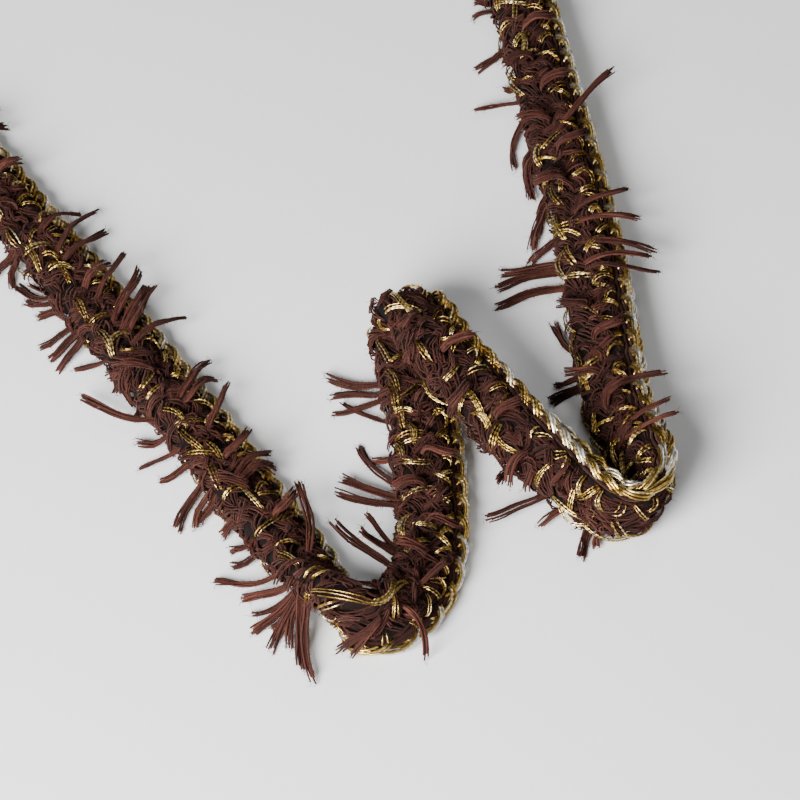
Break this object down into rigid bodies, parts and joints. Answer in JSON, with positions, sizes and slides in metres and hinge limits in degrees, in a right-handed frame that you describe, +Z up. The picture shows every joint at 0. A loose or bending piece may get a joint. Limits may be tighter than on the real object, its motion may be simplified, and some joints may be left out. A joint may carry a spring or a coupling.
{
  "type": "boucle fringe trim",
  "caption": "Narrow knitted boucle trim in brown yarn with gold threads, a gold chain-stitched edge and cut locks along it, lying in a loose zigzag.",
  "frame": {"origin": "on the surface that the trim lies on, under the middle of its short flat stretch", "axes": "+Z up from the surface, +Y along the short flat stretch towards the fold-over, +X to its right"},
  "size_m": [0.1159, 0.148, 0.0135],
  "materials": {
    "brown_yarn": "soft matt brown yarn, knitted, with gold threads worked through it",
    "gold_thread": "shiny twisted gold and silver threads in a chain stitch",
    "brown_locks": "soft matt cut ends of brown yarn, in small bundles of strands"
  },
  "bodies": {
    "root": {"knit_band": "brown_yarn", "chain_edging": "gold_thread", "edge_fringe_a": "brown_locks", "face_fringe_a": "brown_locks", "edge_fringe_b": "brown_locks", "face_fringe_b": "brown_locks", "edge_fringe_c": "brown_locks", "face_fringe_c": "brown_locks", "edge_fringe_d": "brown_locks", "face_fringe_d": "brown_locks"}
  },
  "joints": []
}
